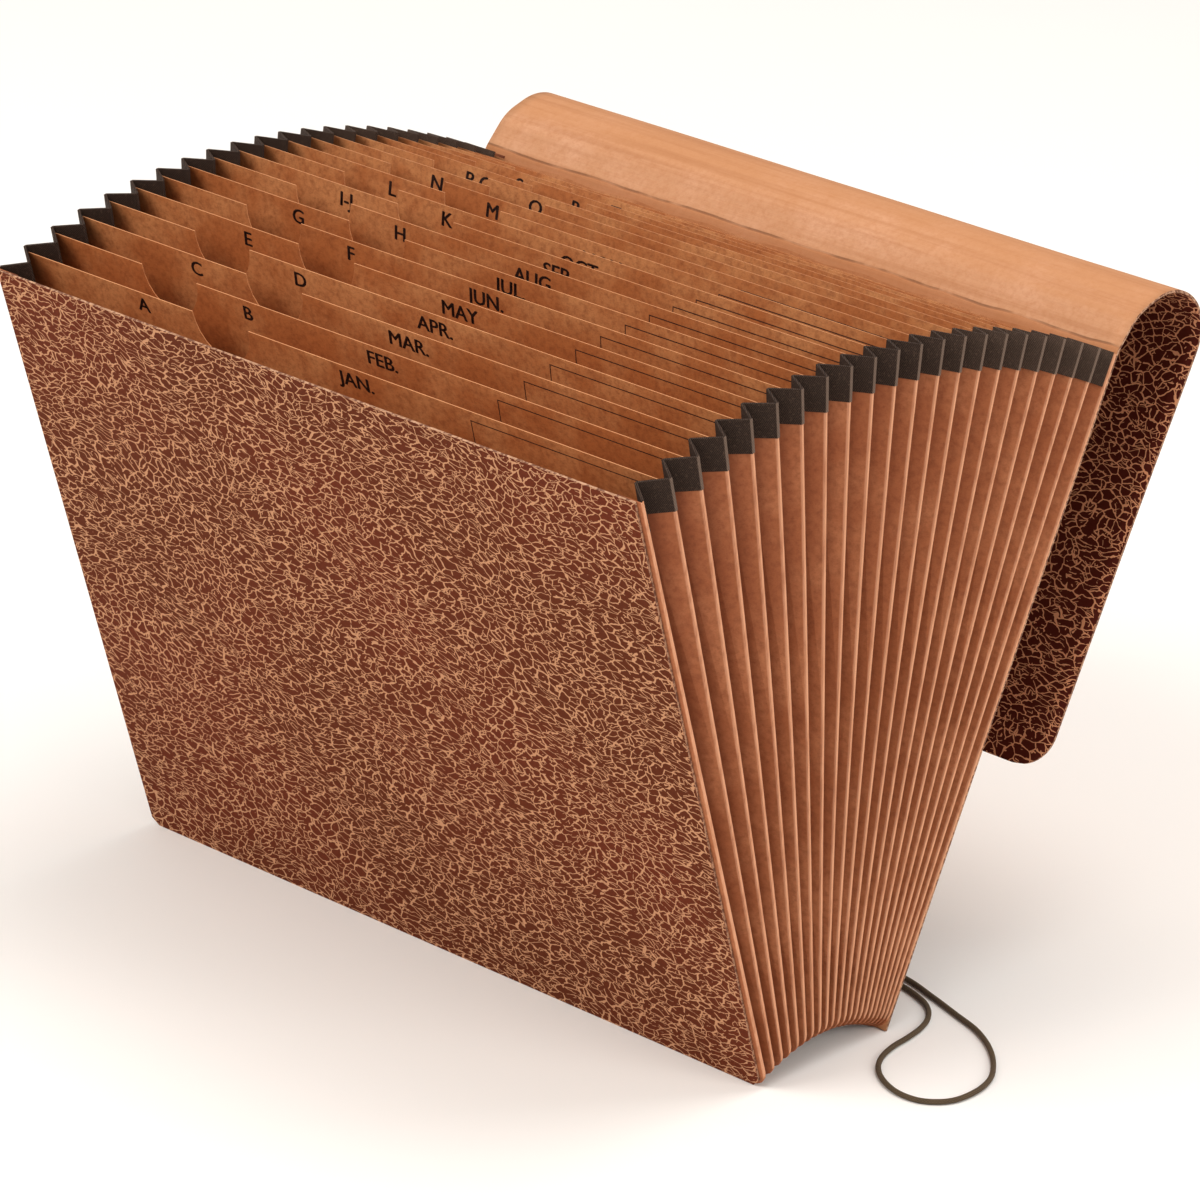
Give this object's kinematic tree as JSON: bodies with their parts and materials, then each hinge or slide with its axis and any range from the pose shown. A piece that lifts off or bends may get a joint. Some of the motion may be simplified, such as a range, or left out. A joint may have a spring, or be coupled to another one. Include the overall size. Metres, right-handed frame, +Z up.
{
  "type": "expanding file",
  "caption": "Letter-size accordion file standing open as a fan, with kraft leaves, pleated bellows, a rolled-back flap and an elastic cord.",
  "frame": {"origin": "on the floor under the middle of the file's bounding box, the cord left out", "axes": "+X to the right of the front cover, +Y from the front cover to the back, +Z up"},
  "size_m": [0.3591, 0.3056, 0.2626],
  "materials": {
    "leatherette_board": "red-brown leather-grain printed paper on board, semi-gloss",
    "pale_kraft": "kraft paper, matte, finely creased",
    "kraft_sheet": "red-brown kraft paper, matte, pleated",
    "kraft_card": "red-brown kraft card, matte",
    "woven_tape": "dark brown twill-woven cloth tape",
    "eyelet_metal": "antique brass, satin",
    "elastic": "braided brown elastic cord"
  },
  "bodies": {
    "root": {"front_cover": "leatherette_board", "back_cover": "leatherette_board", "back_liner": "pale_kraft", "bellows": "kraft_sheet", "divider_01": "kraft_card", "divider_02": "kraft_card", "divider_03": "kraft_card", "divider_04": "kraft_card", "divider_05": "kraft_card", "divider_06": "kraft_card", "divider_07": "kraft_card", "divider_08": "kraft_card", "divider_09": "kraft_card", "divider_10": "kraft_card", "divider_11": "kraft_card", "divider_12": "kraft_card", "divider_13": "kraft_card", "divider_14": "kraft_card", "divider_15": "kraft_card", "divider_16": "kraft_card", "divider_17": "kraft_card", "divider_18": "kraft_card", "divider_19": "kraft_card", "divider_20": "kraft_card", "edge_tape_right": "woven_tape", "edge_tape_left": "woven_tape", "cord_eyelet": "eyelet_metal", "elastic_cord": "elastic"}
  },
  "joints": []
}
